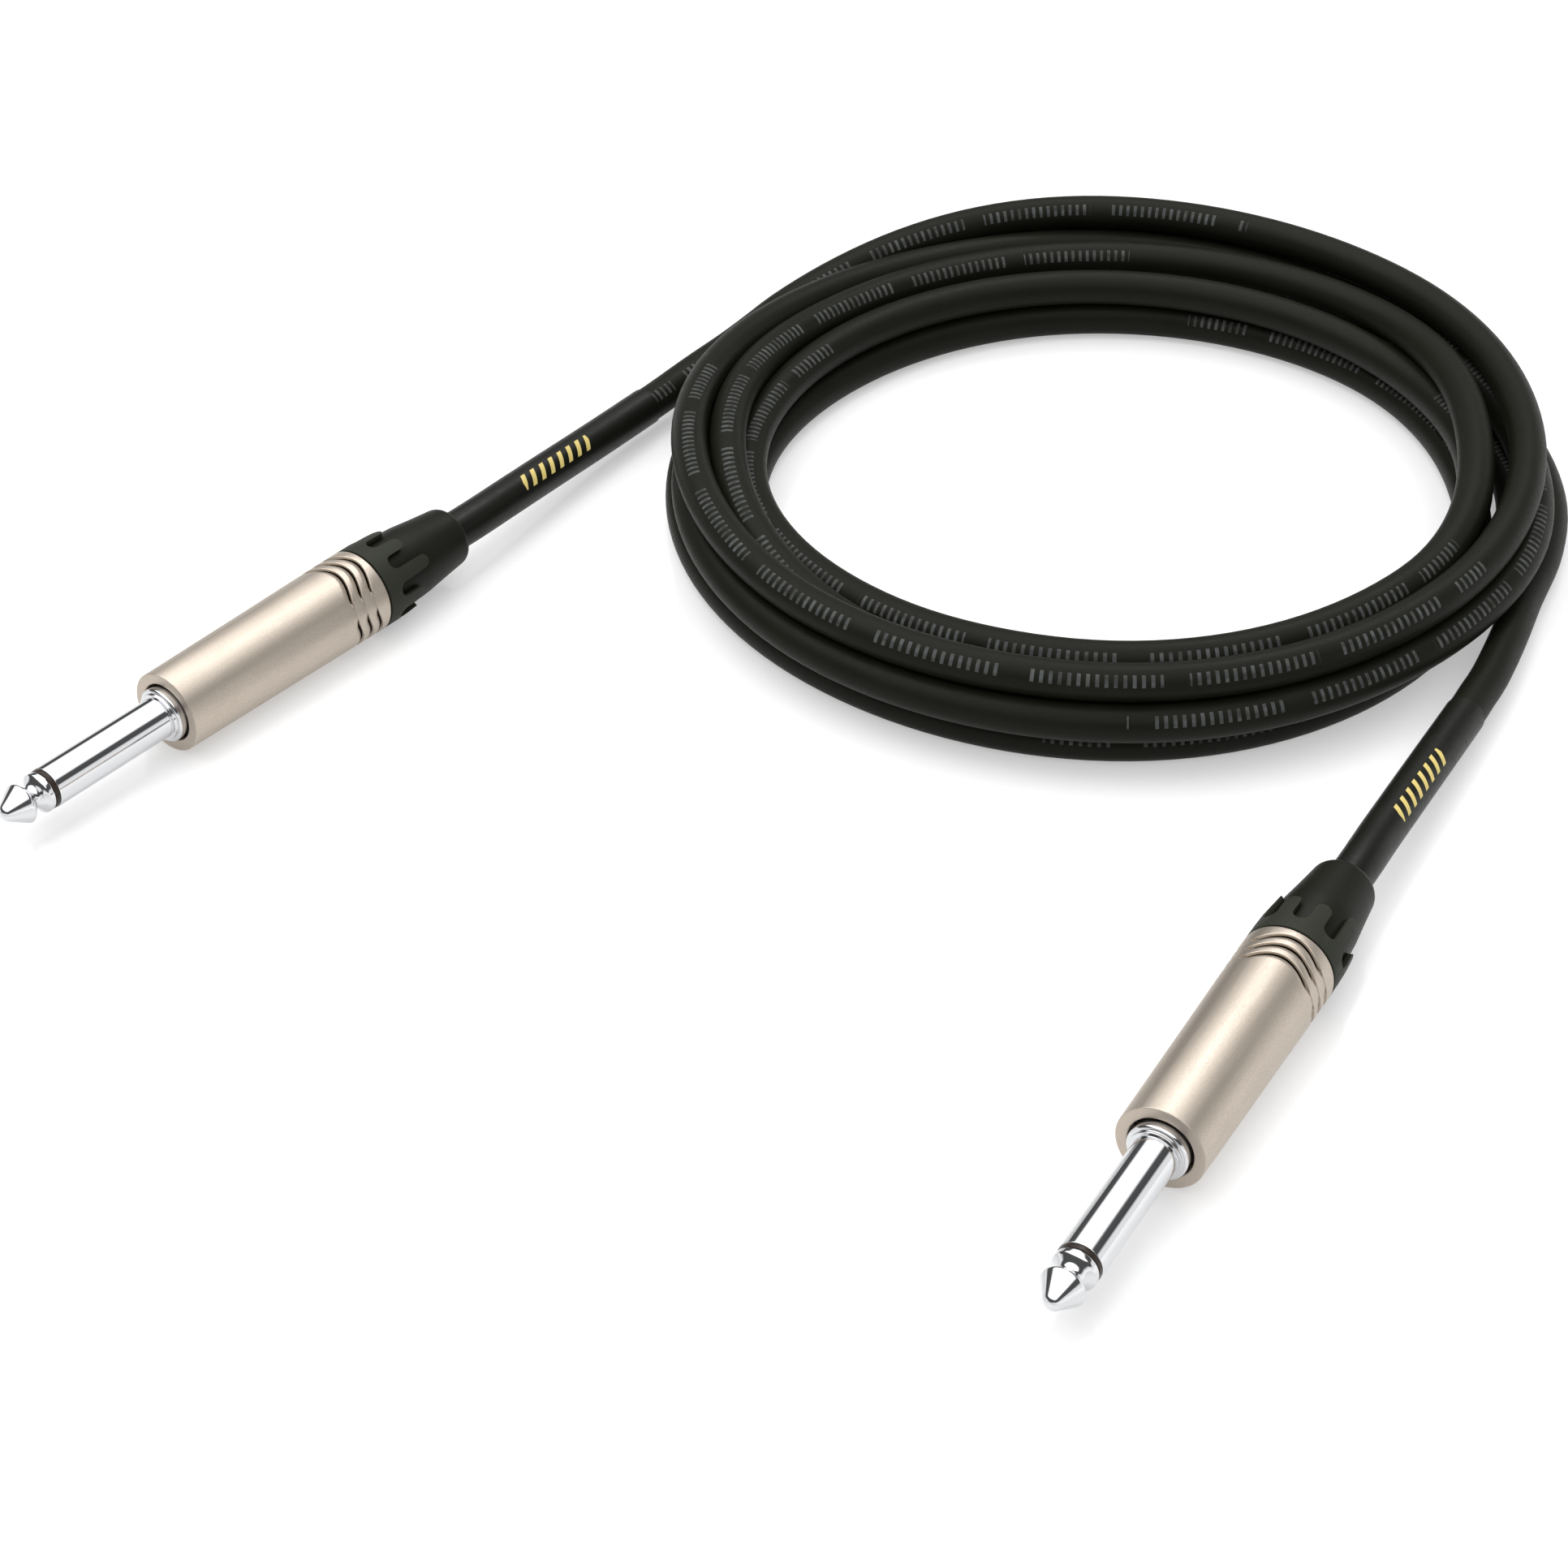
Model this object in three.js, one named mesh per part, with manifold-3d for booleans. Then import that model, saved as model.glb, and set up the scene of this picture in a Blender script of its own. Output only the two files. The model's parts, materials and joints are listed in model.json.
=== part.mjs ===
// An instrument cable: two 6.35 mm two-contact jack plugs joined by 3 m of round cable, which lies
// wound into a coil. Millimetres, +Z up. The cable rests on the plane z = 0, and the origin is on that
// plane at the middle of the box around the two plugs.
// Each plug is built along its own +X axis: x = 0 at the front face of its barrel, the tip in front of
// it at negative x, and the cable leaving behind it at positive x.
import * as THREE from "three";
import { mergeVertices } from "three/addons/utils/BufferGeometryUtils.js";
import Module from "manifold-3d";

const wasm = await Module();
wasm.setup();

// ---- Driving dimensions ----------------------------------------------------------------------------

const GAP = 0.3; // clearance between pieces that touch or slide
const ROUND = 32; // segments around a visible turned piece; a multiple of 4 puts a vertex at the bottom
const SMALL_ROUND = 16; // segments around a small or hidden turned piece

const FINGER_RADIUS = 6.35 / 2; // the plug's standard contact diameter
const FINGER_LENGTH = 30.5; // from the tip to the collar's front face
const COLLAR = { front: -1.2, radius: 4.3 };
const TIP_APEX = COLLAR.front - FINGER_LENGTH;
const RING = { front: -24.0, rear: -23.5 }; // the insulating ring between tip and sleeve
const ROD_RADIUS = 1.0;

const BARREL = { length: 40.1, frontRadius: 6.32, rearRadius: 6.8, lip: 2.0, lipBore: 4.6, bore: 5.3 };
const BARREL_TILT = Math.atan((BARREL.rearRadius - BARREL.frontRadius) / BARREL.length);
const THREAD = { start: 30, bore: 5.6 }; // the female thread's clearance bore at the barrel's rear
const GRIP = { count: 3, last: 38.1, pitch: 2.0, width: 0.7, depth: 0.25 };

const NUT = {
  spigotFront: 31.6,
  spigotRadius: 5.25,
  bore: 3.9,
  radius: 6.78,
  taper: 45.2, // where the fingers start to lean in towards the gland
  tip: 50,
  tipRadius: 6.33,
};
// The nut's fingers, of which every third one reaches back to the nut's tip, and the slots between
// them. The turn is the angle in degrees from the top of a plug to the middle of its first slot.
const FINGERS = { count: 9, longEvery: 3, shortTip: 47.7, endRadius: 1.1 };
const SLOTS = { width: 2.3, root: 42.9, turn: 39 };
const GLAND = { front: 41.7, rear: 60, radius: 5.65, rearRadius: 4.75, bore: 3.45 };
const CHUCK = { front: 22.5, rear: 31, radius: 4.9, bore: 3.2, slots: 4, slotWidth: 0.8, slotRoot: 25 };

const CABLE_RADIUS = 5.8 / 2;
const SLEEVE_RADIUS = 6.2 / 2; // the printed shrink sleeve over the cable beside each plug
const SLEEVE_START = 52; // where the sleeve starts, inside the gland
const JACKET_START = 20; // where the jacket is stripped back inside the barrel
const CORE_RADIUS = 0.9;
const SHIELD_RADIUS = 0.7;

// Each plug's barrel face on the ground plan, and the heading from its tip to its cable.
const PLUGS = {
  a: { x: -75.1, y: 36.4, heading: 50.7 },
  b: { x: 62.6, y: -57.6, heading: 60.6 },
};

// The round coil that the rest of the cable is wound into.
const COIL = { x: 68.4, y: 102.2, innerRadius: 55.8, outerRadius: 73.8, height: 17.8, corner: 3 };

// ---- Materials -------------------------------------------------------------------------------------

function finish(color, roughness, metalness) {
  return new THREE.MeshStandardMaterial({ color, roughness, metalness });
}

const chrome = () => finish(0xd9dadc, 0.12, 1);
const nickel = () => finish(0xb9aea0, 0.32, 1);
const tinned = () => finish(0xc9c5b8, 0.35, 1);
const blackNylon = () => finish(0x2b2c2a, 0.55, 0);
const softBlack = () => finish(0x1d1e1c, 0.65, 0);
const jacketBlack = () => finish(0x23241f, 0.55, 0);
const sleeveBlack = () => finish(0x171816, 0.5, 0);
const clearInsulation = () => finish(0xe8e4da, 0.5, 0);
const brownInsulation = () => finish(0x2a1d16, 0.45, 0);
const copper = () => finish(0xb87348, 0.35, 1);

// ---- Shape helpers ---------------------------------------------------------------------------------

// A solid turned around +X from a closed profile of [x, radius] pairs, in either direction.
function turned(profile, segments = ROUND) {
  const onAxis = profile[0][1] === 0 && profile.at(-1)[1] === 0;
  const outline = onAxis ? profile : [...profile, profile[0]];
  let area = 0;
  for (let i = 0; i < outline.length; i++) {
    const [x0, r0] = outline[i];
    const [x1, r1] = outline[(i + 1) % outline.length];
    area += x0 * r1 - x1 * r0;
  }
  const ordered = area > 0 ? outline.toReversed() : outline;
  const points = ordered.map(([x, radius]) => new THREE.Vector2(radius, x));
  return new THREE.LatheGeometry(points, segments).rotateZ(-Math.PI / 2);
}

// A regular polygon that stands for a round section of the given radius.
function roundSection(radius, sides) {
  const points = [];
  for (let i = 0; i < sides; i++) {
    const angle = (2 * Math.PI * i) / sides;
    points.push(new THREE.Vector2(radius * Math.cos(angle), radius * Math.sin(angle)));
  }
  return new THREE.Shape(points);
}

// A solid round tube along a smooth curve through the given points.
function tube(points, radius, sides, steps) {
  const extrudePath = new THREE.CatmullRomCurve3(points.map((point) => new THREE.Vector3(...point)));
  return new THREE.ExtrudeGeometry(roundSection(radius, sides), { steps, extrudePath });
}

function block(length, width, height, x, y, z) {
  return new THREE.BoxGeometry(length, width, height).translate(x, y, z);
}

function toManifold(geometry) {
  const bare = geometry.clone().deleteAttribute("normal").deleteAttribute("uv");
  const merged = mergeVertices(bare);
  const mesh = new wasm.Mesh({
    numProp: 3,
    vertProperties: merged.attributes.position.array,
    triVerts: new Uint32Array(merged.index.array),
  });
  return new wasm.Manifold(mesh);
}

function fromManifold(solid) {
  const { vertProperties, triVerts } = solid.getMesh();
  const geometry = new THREE.BufferGeometry();
  geometry.setAttribute("position", new THREE.BufferAttribute(vertProperties, 3));
  geometry.setIndex(new THREE.BufferAttribute(triVerts, 1));
  geometry.computeVertexNormals();
  return geometry;
}

function join(...pieces) {
  return fromManifold(pieces.map(toManifold).reduce((whole, piece) => whole.add(piece)));
}

function cut(body, cutters) {
  return fromManifold(cutters.map(toManifold).reduce((left, tool) => left.subtract(tool), toManifold(body)));
}

function piece(name, geometry, material) {
  const mesh = new THREE.Mesh(geometry, material);
  mesh.name = name;
  return mesh;
}

// ---- Contacts and insulation -----------------------------------------------------------------------

// The tip contact: a rounded point, a waist for the jack's spring, a shoulder, and the riveted rod
// that carries the signal back through the plug to the tip's solder lug.
function tipContact() {
  const rim = TIP_APEX + 3.7;
  return turned([
    [TIP_APEX, 0],
    [TIP_APEX, 0.7],
    [TIP_APEX + 0.5, 1.25],
    [rim - 0.4, 2.95],
    [rim, 3.1],
    [rim + 0.3, 2.95],
    [rim + 1.2, 1.8],
    [rim + 2.1, 1.8],
    [rim + 2.8, 3.05],
    [RING.front - GAP, 3.1],
    [RING.front - GAP, ROD_RADIUS],
    [8.9, ROD_RADIUS],
    [8.9, 1.7],
    [9.5, 1.4],
    [9.5, 0],
  ], 24);
}

function frontInsulator() {
  return turned([
    [RING.front, ROD_RADIUS + GAP],
    [RING.front, 3.1],
    [RING.rear, 3.1],
    [RING.rear, 1.9],
    [5.9, 1.9],
    [5.9, ROD_RADIUS + GAP],
  ], 24);
}

// The sleeve contact: the long shaft, the collar that meets the jack's bushing, and the flange
// trapped behind the barrel's front lip.
function sleeveContact() {
  const bore = 1.9 + GAP;
  return turned([
    [RING.rear + GAP, bore],
    [RING.rear + GAP, FINGER_RADIUS],
    [COLLAR.front - 0.5, FINGER_RADIUS],
    [COLLAR.front - 0.5, 3.75],
    [COLLAR.front, 3.75],
    [COLLAR.front, COLLAR.radius],
    [BARREL.lip + GAP, COLLAR.radius],
    [BARREL.lip + GAP, 5.0],
    [5.0, 5.0],
    [5.0, bore],
  ]);
}

// The sleeve's solder lug: a ring pressed on the flange and a long tab back to the cable's shield.
function groundLug() {
  const ring = turned([[5.3, 2.2], [5.3, 4.6], [5.9, 4.6], [5.9, 2.2]], 24);
  return join(ring, block(13.5, 3, 0.6, 12.25, 0, -4.1));
}

function rearInsulator() {
  return turned([[6.2, 1.3], [6.2, 3.3], [7.7, 3.3], [7.7, 1.3]], SMALL_ROUND);
}

function tipLug() {
  const ring = turned([[8, 1.3], [8, 2.8], [8.6, 2.8], [8.6, 1.3]], SMALL_ROUND);
  return join(ring, block(7, 2.4, 0.6, 11.5, 0, 2.3));
}

// ---- Barrel, chuck and boot ------------------------------------------------------------------------

function barrelRadius(x) {
  return BARREL.frontRadius + x * Math.tan(BARREL_TILT);
}

// The barrel: a slightly tapered metal shell with a front lip, three grip grooves at its rear end,
// and the wider threaded bore that the boot nut screws into.
function barrelShell() {
  const bevel = 0.2;
  const end = BARREL.length;
  const profile = [
    [0, BARREL.lipBore],
    [0, barrelRadius(0) - bevel],
    [bevel, barrelRadius(bevel)],
  ];
  for (let i = GRIP.count - 1; i >= 0; i--) {
    const middle = GRIP.last - i * GRIP.pitch;
    const front = middle - GRIP.width / 2;
    const rear = middle + GRIP.width / 2;
    profile.push([front, barrelRadius(front)]);
    profile.push([middle, barrelRadius(middle) - GRIP.depth]);
    profile.push([rear, barrelRadius(rear)]);
  }
  profile.push(
    [end - bevel, barrelRadius(end - bevel)],
    [end, barrelRadius(end) - bevel],
    [end, THREAD.bore],
    [THREAD.start, THREAD.bore],
    [THREAD.start, BARREL.bore],
    [BARREL.lip, BARREL.bore],
    [BARREL.lip, BARREL.lipBore],
  );
  return turned(profile);
}

// The chuck: a split collet around the jacket that the boot nut squeezes as it is screwed in.
function chuck() {
  const body = turned([
    [CHUCK.front, CHUCK.bore],
    [CHUCK.front, CHUCK.radius],
    [CHUCK.rear - 1.5, CHUCK.radius],
    [CHUCK.rear, CHUCK.radius - 0.8],
    [CHUCK.rear, CHUCK.bore],
  ], 24);
  const slots = [];
  const length = CHUCK.rear + 1 - CHUCK.slotRoot;
  for (let i = 0; i < CHUCK.slots; i++) {
    const slot = block(length, CHUCK.slotWidth, 6, CHUCK.slotRoot + length / 2, 0, 4.5);
    slots.push(slot.rotateX(Math.PI / 4 + (2 * Math.PI * i) / CHUCK.slots));
  }
  return cut(body, slots);
}

// What is cut away between two fingers with their ends at x = tip and x = nextTip: a slot with a round
// root, and half of the rounding of each finger's end.
function fingerGap(tip, nextTip) {
  const half = SLOTS.width / 2;
  const side = NUT.radius * Math.tan(Math.PI / FINGERS.count);
  const radius = FINGERS.endRadius;
  const outline = new THREE.Shape();
  outline.absarc(SLOTS.root + half, 0, half, Math.PI / 2, (3 * Math.PI) / 2);
  outline.absarc(nextTip - radius, -half - radius, radius, Math.PI / 2, 0, true);
  outline.lineTo(nextTip, -side);
  outline.lineTo(NUT.tip + 1, -side);
  outline.lineTo(NUT.tip + 1, side);
  outline.lineTo(tip, side);
  outline.absarc(tip - radius, half + radius, radius, 0, -Math.PI / 2, true);
  const options = { depth: 4, curveSegments: 5, bevelEnabled: false };
  return new THREE.ExtrudeGeometry(outline, options).translate(0, 0, 5);
}

// The boot nut: a threaded spigot, a short tapered body flush with the barrel, and a ring of
// round-ended fingers that lie over the gland.
function bootNut() {
  const body = turned([
    [NUT.spigotFront, NUT.bore],
    [NUT.spigotFront, NUT.spigotRadius - 0.4],
    [NUT.spigotFront + 0.4, NUT.spigotRadius],
    [BARREL.length + GAP, NUT.spigotRadius],
    [BARREL.length + GAP, NUT.radius - 0.15],
    [BARREL.length + 0.6, NUT.radius],
    [NUT.taper, NUT.radius - 0.05],
    [NUT.tip, NUT.tipRadius],
    [NUT.tip, GLAND.radius + GAP],
    [GLAND.front - GAP, GLAND.radius + GAP],
    [GLAND.front - GAP, NUT.bore],
  ], 48);
  const tips = [];
  for (let i = 0; i < FINGERS.count; i++) {
    tips.push(i % FINGERS.longEvery === 0 ? NUT.tip : FINGERS.shortTip);
  }
  const gaps = tips.map((tip, i) => {
    const turn = THREE.MathUtils.degToRad(SLOTS.turn) + (2 * Math.PI * i) / FINGERS.count;
    return fingerGap(tips.at(i - 1), tip).rotateX(turn);
  });
  return cut(body, gaps);
}

// The gland: the soft bend relief inside the nut, tapering back along the cable.
function bootGland() {
  return turned([
    [GLAND.front, GLAND.bore],
    [GLAND.front, GLAND.radius],
    [NUT.tip + 0.3, GLAND.radius],
    [54.3, 5.33],
    [58, 4.95],
    [GLAND.rear - 0.6, GLAND.rearRadius],
    [GLAND.rear, GLAND.rearRadius - 0.55],
    [GLAND.rear, GLAND.bore],
  ]);
}

// ---- Cable ends inside a plug ----------------------------------------------------------------------

function cableEnd() {
  const end = SLEEVE_START - GAP;
  return turned([[JACKET_START, 0], [JACKET_START, CABLE_RADIUS], [end, CABLE_RADIUS], [end, 0]], SMALL_ROUND);
}

// The insulated core runs from the stripped jacket up to the tip's lug.
function coreLead() {
  return tube([[JACKET_START - GAP, 0, 0], [17.5, 0, 0.1], [14.5, 0, 1.1], [12, 0, 0.75]], CORE_RADIUS, 8, 8);
}

// The bare end of the core's conductor lies under the tip lug, where it is soldered.
function coreConductor() {
  return tube([[11.7, 0, 0.75], [11, 0, 0.95], [10, 0, 1.2]], 0.45, 8, 4);
}

// The cable's shield is twisted into a tail that lies on the sleeve's lug.
function shieldLead() {
  const start = JACKET_START - GAP;
  return tube([[start, 0, -1.9], [17.5, 0, -2.4], [14.5, 0, -3], [10, 0, -3]], SHIELD_RADIUS, 8, 10);
}

// ---- Plugs -----------------------------------------------------------------------------------------

function plug(letter, place) {
  const group = new THREE.Group();
  group.add(
    piece(`tip_contact_${letter}`, tipContact(), chrome()),
    piece(`front_insulator_${letter}`, frontInsulator(), brownInsulation()),
    piece(`sleeve_contact_${letter}`, sleeveContact(), chrome()),
    piece(`ground_lug_${letter}`, groundLug(), tinned()),
    piece(`rear_insulator_${letter}`, rearInsulator(), brownInsulation()),
    piece(`tip_lug_${letter}`, tipLug(), tinned()),
    piece(`barrel_shell_${letter}`, barrelShell(), nickel()),
    piece(`chuck_${letter}`, chuck(), blackNylon()),
    piece(`boot_nut_${letter}`, bootNut(), blackNylon()),
    piece(`boot_gland_${letter}`, bootGland(), softBlack()),
    piece(`cable_end_${letter}`, cableEnd(), jacketBlack()),
    piece(`core_lead_${letter}`, coreLead(), clearInsulation()),
    piece(`core_conductor_${letter}`, coreConductor(), copper()),
    piece(`shield_lead_${letter}`, shieldLead(), copper()),
  );
  // The barrel lies on its side, so its axis rises by the taper's half angle towards the cable.
  group.position.set(place.x, place.y, BARREL.frontRadius * Math.cos(BARREL_TILT));
  group.rotation.set(0, -BARREL_TILT, THREE.MathUtils.degToRad(place.heading), "ZYX");
  return group;
}

// A point on a plug's axis, in the part's frame.
function onAxis(place, x) {
  const heading = THREE.MathUtils.degToRad(place.heading);
  const run = x * Math.cos(BARREL_TILT);
  const height = BARREL.frontRadius * Math.cos(BARREL_TILT) + x * Math.sin(BARREL_TILT);
  return [place.x + run * Math.cos(heading), place.y + run * Math.sin(heading), height];
}

// ---- Free cable ------------------------------------------------------------------------------------

// The routes of the sleeved stretches and of the bare tails between the plugs and the coil, which
// leave each gland along its plug's axis and come down beside the coil.
const SLEEVE_A_ROUTE = [
  onAxis(PLUGS.a, SLEEVE_START),
  onAxis(PLUGS.a, 60),
  onAxis(PLUGS.a, 66),
  [-29.2, 93.6, 6.7],
  [-23.2, 102.7, 6],
  [-15.8, 113.9, 5.1],
  [-7.7, 125.6, 4.6],
];
const TAIL_A_ROUTE = [
  [-7.4, 126, 4.6],
  [-4.8, 129.8, 4.5],
  [-1.8, 133.8, 4.7],
];
const SLEEVE_B_ROUTE = [
  onAxis(PLUGS.b, SLEEVE_START),
  onAxis(PLUGS.b, 60),
  onAxis(PLUGS.b, 66),
  [98, 5.8, 6.7],
  [104.1, 17.3, 6],
  [110, 28.4, 5.3],
  [115.5, 38.7, 4.7],
];
const TAIL_B_ROUTE = [
  [115.7, 39.1, 4.65],
  [116.6, 40.9, 4.55],
  [117.5, 42.7, 4.5],
];

function coil() {
  const { innerRadius, outerRadius, height, corner } = COIL;
  const profile = [
    [0, innerRadius + corner],
    [0, outerRadius - corner],
    [corner, outerRadius],
    [height - corner, outerRadius],
    [height, outerRadius - corner],
    [height, innerRadius + corner],
    [height - corner, innerRadius],
    [corner, innerRadius],
  ];
  return turned(profile, 48).rotateY(-Math.PI / 2).translate(COIL.x, COIL.y, 0);
}

// ---- The whole object ------------------------------------------------------------------------------

const instrumentCable = new THREE.Group();
instrumentCable.add(
  plug("a", PLUGS.a),
  plug("b", PLUGS.b),
  piece("label_sleeve_a", tube(SLEEVE_A_ROUTE, SLEEVE_RADIUS, 10, 6), sleeveBlack()),
  piece("label_sleeve_b", tube(SLEEVE_B_ROUTE, SLEEVE_RADIUS, 10, 6), sleeveBlack()),
  piece("cable_tail_a", tube(TAIL_A_ROUTE, CABLE_RADIUS, 10, 2), jacketBlack()),
  piece("cable_tail_b", tube(TAIL_B_ROUTE, CABLE_RADIUS, 10, 2), jacketBlack()),
  piece("cable_coil", coil(), jacketBlack()),
);

export default instrumentCable;
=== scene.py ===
import json
import math

import bmesh
import bpy
import numpy as np
from mathutils import Matrix, Vector

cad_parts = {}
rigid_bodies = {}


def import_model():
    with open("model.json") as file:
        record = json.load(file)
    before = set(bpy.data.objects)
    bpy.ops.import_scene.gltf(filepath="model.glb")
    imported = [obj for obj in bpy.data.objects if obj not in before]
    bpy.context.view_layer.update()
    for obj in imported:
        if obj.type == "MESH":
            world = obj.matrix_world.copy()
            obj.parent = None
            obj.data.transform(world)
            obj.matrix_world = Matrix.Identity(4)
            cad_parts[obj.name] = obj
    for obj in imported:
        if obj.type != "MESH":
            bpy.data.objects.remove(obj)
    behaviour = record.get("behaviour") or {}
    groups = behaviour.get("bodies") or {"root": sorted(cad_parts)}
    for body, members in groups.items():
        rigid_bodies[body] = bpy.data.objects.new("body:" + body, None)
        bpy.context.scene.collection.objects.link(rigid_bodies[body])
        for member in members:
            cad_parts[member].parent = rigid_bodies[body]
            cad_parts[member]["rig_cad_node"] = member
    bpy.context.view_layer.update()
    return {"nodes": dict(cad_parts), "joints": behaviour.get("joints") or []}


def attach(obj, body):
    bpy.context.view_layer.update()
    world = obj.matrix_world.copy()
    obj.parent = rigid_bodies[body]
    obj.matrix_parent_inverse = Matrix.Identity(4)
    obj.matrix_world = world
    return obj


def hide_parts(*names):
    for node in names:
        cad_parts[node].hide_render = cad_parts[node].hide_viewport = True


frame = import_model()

# ---- Driving dimensions, in millimetres -------------------------------------------------------------

MM = 0.001
ROUND = 128  # sides of a turned piece
CREASE = 32  # degrees between two faces from which the edge between them is shaded sharp

HINGE_X = 45.0  # where the record puts each boot's hinge along its plug
SLEEVE_START = 52.0
GLAND_MOUTH = 60.0

SHAFT_RADIUS = 6.35 / 2
COLLAR_RADIUS = 4.3
TIP_APEX = -31.7
RING_FRONT = -24.0
RING_REAR = -23.5

BARREL_LENGTH = 40.1
BARREL_FRONT_RADIUS = 6.32
BARREL_REAR_RADIUS = 6.8
BARREL_BORE = 5.3
BARREL_LIP = 2.0  # thickness of the front lip that holds the sleeve contact's flange
BARREL_LIP_BORE = 4.6
THREAD_START = 30.0  # where the wider threaded bore at the barrel's rear starts
THREAD_BORE = 5.75
GRIP_WALLS = (34.9, 36.95, 39.0)  # the rear wall of each grip groove, at the middle of a lobe
GRIP_BOW = 1.6  # how far forward the grooves bow between the lobes
GRIP_RUN = 1.25  # length of the slope that leads down to a wall
GRIP_DEPTH = 0.42
GRIP_SLIT = 0.3  # width of the narrow slit at the foot of each slope
GRIP_SLIT_DEPTH = 2.1  # times the grip's depth
GRIP_LOBES = 3
GRIP_FADE = 0.28  # the grooves get shallower where the lobe wave is lower than this
GRIP_LEAST = 0.1  # the grooves' depth between two lobes, as a share of their full depth
GRIP_LOBE_ANGLE = math.radians(101)  # the middle of one lobe, from +Y towards +Z

THREAD_PITCH = 1.0
THREAD_DEPTH = 0.35
THREAD_STEP = 0.125  # between the rings of the threaded part
SPIGOT_RADIUS = 5.25
SPIGOT_BORE = 3.9
NUT_RADIUS = 6.78
NUT_TIP = 50.0  # where the long fingers end
SHORT_TIP = 47.7  # where the others end
FINGER_COUNT = 9
LONG_EVERY = 3
FINGERTIP_RADIUS = 1.15
FINGER_INSIDE = 5.9
FINGER_EDGE = 0.11  # width of the bevel along the fingers' edges
SLOT_ROOT = 42.9
SLOT_HALF = 1.17  # half of a slot's width
SLOT_TURN = math.radians(39)  # the middle of the first slot, from +Z towards -Y

CABLE_RADIUS = 2.9
SLEEVE_INNER = 2.93
SLEEVE_OUTER = 3.1
PRINT_SIDE = np.array([0.0, -0.8, 0.6])  # the side of the cable that its printed line faces

# ---- The cable's route, in millimetres --------------------------------------------------------------

# From the end of each plug's axis to the coil. These repeat the routes of the CAD model's own tubes.
SLEEVE_A_ROUTE = [(-29.2, 93.6, 6.7), (-23.2, 102.7, 6.0), (-15.8, 113.9, 5.1), (-7.7, 125.6, 4.6)]
TAIL_A_ROUTE = [(-4.8, 129.8, 4.5), (-1.8, 133.8, 4.7)]
SLEEVE_B_ROUTE = [(98.0, 5.8, 6.7), (104.1, 17.3, 6.0), (110.0, 28.4, 5.3), (115.5, 38.7, 4.7)]
TAIL_B_ROUTE = [(116.6, 40.9, 4.55), (117.5, 42.7, 4.5)]
STRAIGHT = (SLEEVE_START, GLAND_MOUTH, 66.0)  # points on a plug's axis, where the cable leaves it

# The coil is wound clockwise around this centre. Each row is a turn, and each pair is the radius and
# the height of the cable's centreline at one bearing, so that a turn keeps its own lane in the bundle.
COIL_CENTRE = np.array([68.4, 98.9])
BEARINGS = (135, 90, 45, 0, -45, -90, -135, -180)
COIL_LANES = [
    [(76.4, 6.6), (75.6, 12), (70.4, 14), (64.2, 14.5), (63, 14), (65.2, 13.6), (67.4, 14), (68, 14.4)],
    [(70.5, 10.8), (75.2, 8.3), (69.3, 8.4), (63.4, 8.7), (63.7, 8.6), (67.6, 8.3), (69.4, 8.5), (68.4, 8.6)],
    [(66.2, 4.5), (67.3, 2.9), (66, 2.9), (63.5, 2.9), (58.7, 7.6), (61.5, 7.5), (62.6, 10.5), (62.4, 13.5)],
    [(66.4, 10.2), (70, 8.8), (63.8, 11.5), (56.1, 14.2), (58.1, 13.5), (60, 12.8), (57.3, 9.6), (59.2, 8.7)],
    [(59.6, 8.6), (59.8, 8.6), (59.2, 8.6), (57.7, 8.6), (55.5, 3.6), (58, 2.9), (57.5, 2.9), (59, 2.9)],
    [(58.2, 2.9), (59.5, 2.9), (60, 2.9), (57.6, 2.9), (60.9, 2.9), (65, 2.9), (66.6, 2.9), (69, 2.9)],
    [(71.5, 2.9), (73.4, 2.9), (72, 2.9), (69.1, 2.9)],
]
# Bearing, radius and height where the cable comes down onto the coil and where it leaves it.
COIL_ENTRY = [(153.6, 78.4, 4.7), (149.4, 77.3, 5.1), (145.1, 76.4, 5.6)]
COIL_EXIT = [(-13.7, 67.6, 3.0), (-25.0, 67.0, 3.3), (-36.8, 69.6, 4.0), (-48.9, 74.6, 4.5)]
STATION = 5  # degrees between the points of a turn
SETTLE_ROUNDS = 300
SETTLE_PUSH = 0.45  # how much of an overlap each of the two strands gives way in a round
SETTLE_EVEN = 0.35  # how strongly a point's shift is evened out with those of its neighbours
SETTLE_KEEP = 0.995  # how much of its shift a point keeps from one round to the next
SETTLE_FIXED = 3  # points at the coil's entry that stay in place
CABLE_STEP = 3.0  # between the points of the whole centreline


# ---- Curves and profiles ----------------------------------------------------------------------------

def hermite(at, values, where):
    """Values on the smooth curve that passes through the given values at the positions at."""
    slopes = np.empty_like(values)
    slopes[1:-1] = (values[2:] - values[:-2]) / (at[2:] - at[:-2])[:, None]
    slopes[0] = (values[1] - values[0]) / (at[1] - at[0])
    slopes[-1] = (values[-1] - values[-2]) / (at[-1] - at[-2])
    left = np.clip(np.searchsorted(at, where, side="right") - 1, 0, len(at) - 2)
    span = (at[left + 1] - at[left])[:, None]
    t = (where - at[left])[:, None] / span
    return (
        (1 + 2 * t) * (1 - t) ** 2 * values[left]
        + t * (1 - t) ** 2 * span * slopes[left]
        + t**2 * (3 - 2 * t) * values[left + 1]
        + t**2 * (t - 1) * span * slopes[left + 1]
    )


def lengths_along(points):
    """The distance along a line of points to each of them."""
    return np.concatenate([[0.0], np.cumsum(np.linalg.norm(np.diff(points, axis=0), axis=1))])


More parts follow.
